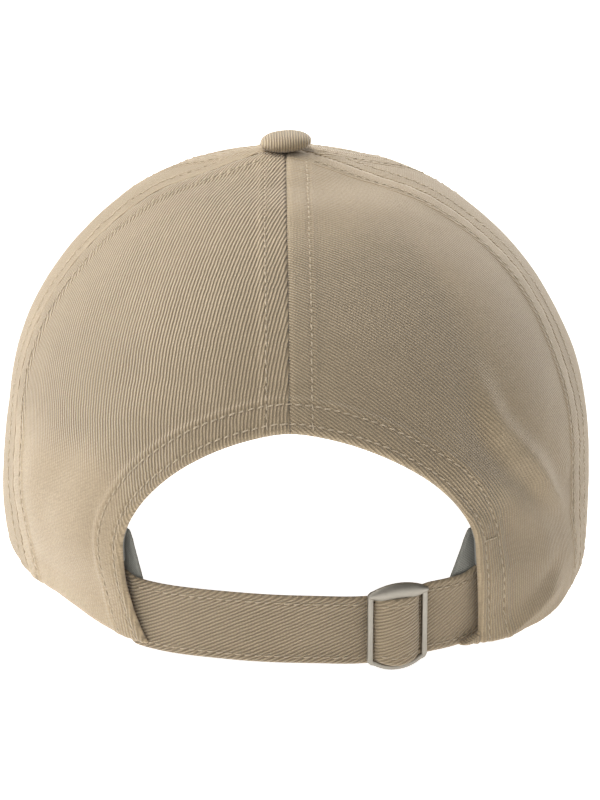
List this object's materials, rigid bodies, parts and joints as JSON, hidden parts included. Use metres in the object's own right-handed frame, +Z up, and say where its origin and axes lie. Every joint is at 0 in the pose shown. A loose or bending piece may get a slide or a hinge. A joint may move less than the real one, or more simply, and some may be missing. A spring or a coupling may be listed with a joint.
{
  "type": "baseball cap",
  "caption": "Soft unstructured panelled cap with a curved visor, an arched rear opening and a fabric back strap whose metal slide buckle moves along the strap.",
  "frame": {"origin": "centre of the bounding box, on the table plane under the cap", "axes": "+Z up from the table, visor towards -Y, back strap towards +Y, wearer's left towards +X"},
  "size_m": [0.1774, 0.2656, 0.139],
  "materials": {
    "khaki_twill": "washed cotton twill",
    "lining_twill": "grey-green cotton twill",
    "seam_tape": "plain woven tape",
    "visor_board": "moulded sheet, hidden between the covers",
    "buckle_metal": "aged satin nickel",
    "button_metal": "plain pressed steel"
  },
  "bodies": {
    "cap": {"front_panel_left": "khaki_twill", "front_panel_right": "khaki_twill", "side_panel_left": "khaki_twill", "side_panel_right": "khaki_twill", "rear_panel_left": "khaki_twill", "rear_panel_right": "khaki_twill", "front_seam_tape": "seam_tape", "front_left_seam_tape": "seam_tape", "front_right_seam_tape": "seam_tape", "rear_left_seam_tape": "seam_tape", "rear_right_seam_tape": "seam_tape", "rear_seam_tape": "seam_tape", "opening_facing": "lining_twill", "sweatband": "lining_twill", "button_cover": "khaki_twill", "button_shell": "button_metal", "button_back": "button_metal", "visor_board": "visor_board", "visor_top_cover": "khaki_twill", "visor_under_cover": "khaki_twill", "adjusting_strap": "khaki_twill"},
    "buckle": {"buckle_frame": "buckle_metal", "strap_fold": "khaki_twill", "bar_wrap": "khaki_twill"}
  },
  "joints": [
    {"name": "buckle_slide", "type": "hinge", "parent": "cap", "child": "buckle", "pos_m": [0, 0.05135, 0.01187], "axis": [0, 0.1063, 0.9943], "range_deg": [-42, 8]}
  ]
}
